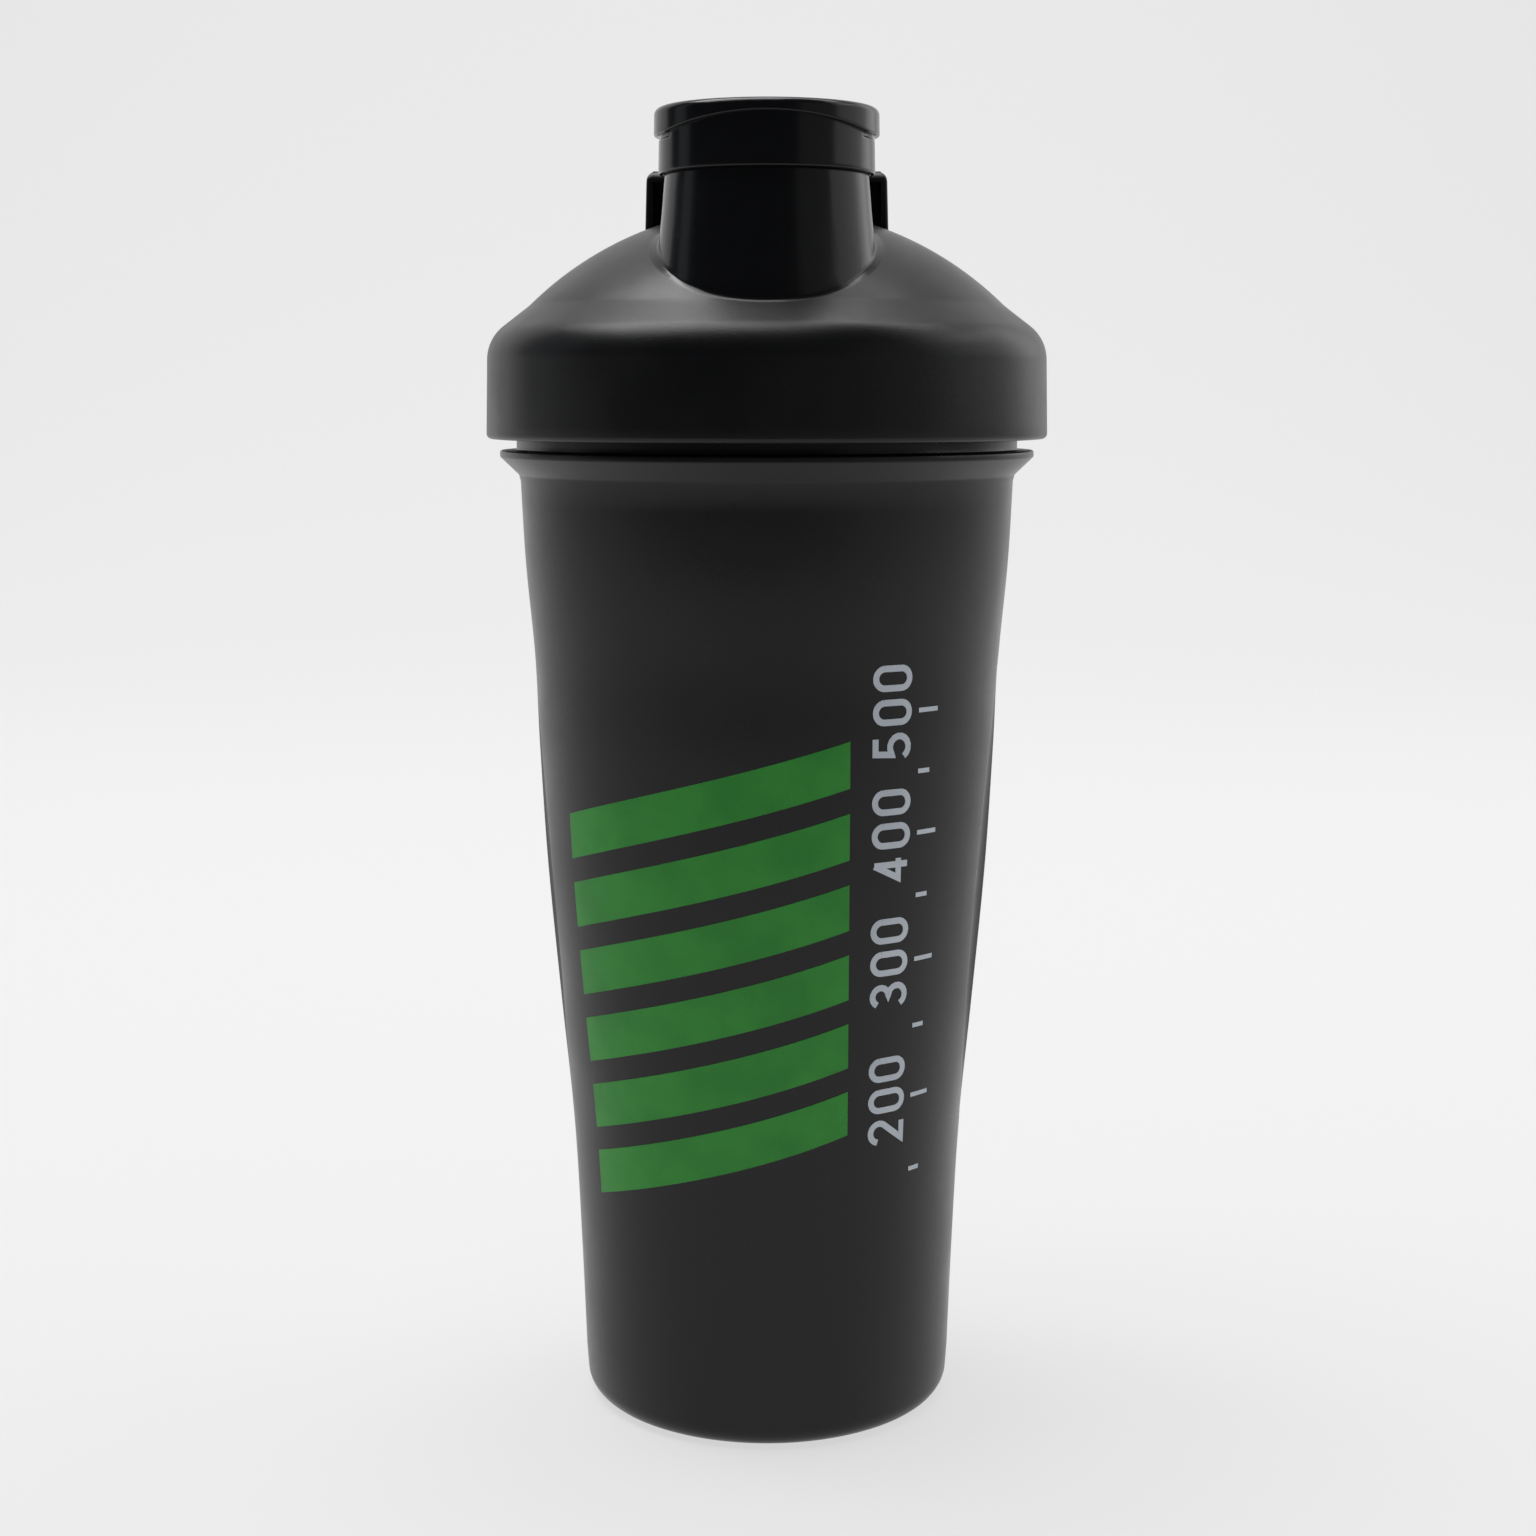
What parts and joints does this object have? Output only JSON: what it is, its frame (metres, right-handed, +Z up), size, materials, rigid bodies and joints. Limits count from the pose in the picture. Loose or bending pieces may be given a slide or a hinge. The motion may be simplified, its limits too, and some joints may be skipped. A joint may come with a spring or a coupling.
{
  "type": "protein shaker bottle",
  "caption": "Tapered dark plastic shaker cup with fluted side grips, a screw lid with an offset spout, a hinged flip cap and a mixing grid under the lid.",
  "frame": {"origin": "centre of the base, on the plane that the bottle stands on", "axes": "+Z up along the bottle's axis, -Y towards the spout, which is the front, +X to the right of the front view"},
  "size_m": [0.0986, 0.0986, 0.2295],
  "materials": {
    "cup_plastic": "satin polypropylene",
    "lid_plastic": "fine moulded texture",
    "seal_silicone": "matte silicone",
    "grid_plastic": "satin",
    "cap_plastic": "semi-gloss",
    "pin_plastic": "satin"
  },
  "bodies": {
    "cup": {"cup": "cup_plastic"},
    "seal": {"lid_seal": "seal_silicone"},
    "lid": {"lid": "lid_plastic", "hinge_pin": "pin_plastic"},
    "cap": {"flip_cap": "cap_plastic"},
    "grid": {"mixing_grid": "grid_plastic"}
  },
  "joints": [
    {"name": "lid_lift", "type": "slide", "parent": "cup", "child": "seal", "axis": [0, 0, 1], "range_m": [0, 0.0201]},
    {"name": "lid_turn", "type": "hinge", "parent": "seal", "child": "lid", "pos_m": [0, 0, 0.1886], "axis": [0, 0, 1], "range_deg": [0, 720]},
    {"name": "cap_flip", "type": "hinge", "parent": "lid", "child": "cap", "pos_m": [0, 0.007, 0.2173], "axis": [-1, 0, 0], "range_deg": [0, 115]},
    {"name": "grid_pull", "type": "slide", "parent": "lid", "child": "grid", "axis": [0, 0, -1], "range_m": [0, 0.016]}
  ],
  "couplings": [
    {"joint": "lid_lift", "follows": "lid_turn", "m_per_rad": 0.0015915}
  ]
}
